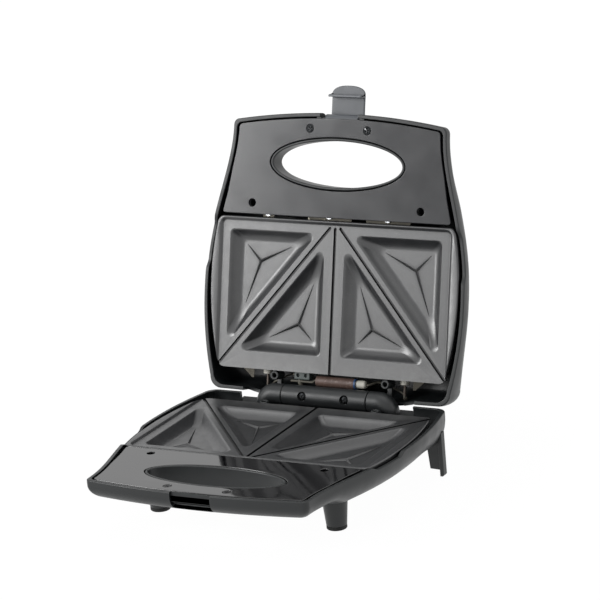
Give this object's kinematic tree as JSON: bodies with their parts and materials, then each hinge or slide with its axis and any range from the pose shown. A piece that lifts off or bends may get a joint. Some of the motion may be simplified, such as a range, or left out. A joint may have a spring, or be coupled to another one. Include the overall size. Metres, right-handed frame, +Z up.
{
  "type": "sandwich toaster",
  "caption": "Open sandwich toaster: a footed base and a hinged lid, each with a non-stick plate of triangular pockets, oval grip openings and a front latch.",
  "frame": {"origin": "on the floor, at the centre of the whole outline seen from above, lid open", "axes": "+Z up; -Y towards the front edge of the base, where the latch hooks; +X to the right of a person who faces the front; the lid stands open towards +Y"},
  "size_m": [0.234, 0.31, 0.2885],
  "materials": {
    "housing": "fine satin black",
    "gloss_panel": "polished black",
    "dark_screws": "blackened",
    "zinc_screws": "bright zinc",
    "nonstick": "dark grey non-stick coating, satin",
    "heater_tube": "dull",
    "ceramic": "matte",
    "tray_steel": "bright sheet",
    "thermostat_case": "satin",
    "rubber": "matte",
    "hinge_black": "satin black",
    "grey_plastic": "matte",
    "leads": "silicone sleeve",
    "fuse_brown": "glass-fibre sleeve",
    "red_lens": "clear tinted",
    "green_lens": "clear tinted",
    "lamp_glass": "clear",
    "latch_grey": "mid grey, satin"
  },
  "bodies": {
    "base": {"base_shell": "housing", "base_handle_panel": "gloss_panel", "base_panel_screws": "dark_screws", "lower_plate": "nonstick", "lower_heating_element": "heater_tube", "lower_element_insulators": "ceramic", "lower_reflector": "tray_steel", "lower_plate_screws": "zinc_screws", "lower_reflector_screws": "zinc_screws", "thermostat": "thermostat_case", "front_left_foot": "housing", "front_right_foot": "housing", "front_foot_tips": "rubber", "rear_left_leg": "housing", "rear_right_leg": "housing", "left_hinge_elbow": "hinge_black", "right_hinge_elbow": "hinge_black", "elbow_screws": "zinc_screws", "inlet_gland": "rubber", "cord_clamp": "grey_plastic", "cord_clamp_screws": "zinc_screws", "box_cover": "housing", "box_cover_screws": "zinc_screws", "terminal_block": "ceramic", "base_leads": "leads"},
    "lid": {"lid_shell": "housing", "lid_handle_panel": "gloss_panel", "lid_panel_screws": "dark_screws", "upper_plate": "nonstick", "upper_heating_element": "heater_tube", "upper_element_insulators": "ceramic", "upper_reflector": "tray_steel", "upper_plate_screws": "zinc_screws", "upper_reflector_screws": "zinc_screws", "hinge_barrel": "hinge_black", "barrel_screws": "dark_screws", "fuse_sleeve": "fuse_brown", "fuse_insulator": "ceramic", "lead_connector": "grey_plastic", "lid_leads": "leads", "power_lamp_lens": "red_lens", "ready_lamp_lens": "green_lens", "lamp_holder": "grey_plastic", "neon_lamps": "lamp_glass", "latch_pin": "zinc_screws"},
    "latch": {"latch_clip": "latch_grey"}
  },
  "joints": [
    {"name": "lid_hinge", "type": "hinge", "parent": "base", "child": "lid", "pos_m": [0, 0.07312, 0.0503], "axis": [1, 0, 0], "range_deg": [0, 105]},
    {"name": "latch_pivot", "type": "hinge", "parent": "lid", "child": "latch", "pos_m": [0, 0.13917, 0.26398], "axis": [1, 0, 0], "range_deg": [0, 90]}
  ]
}
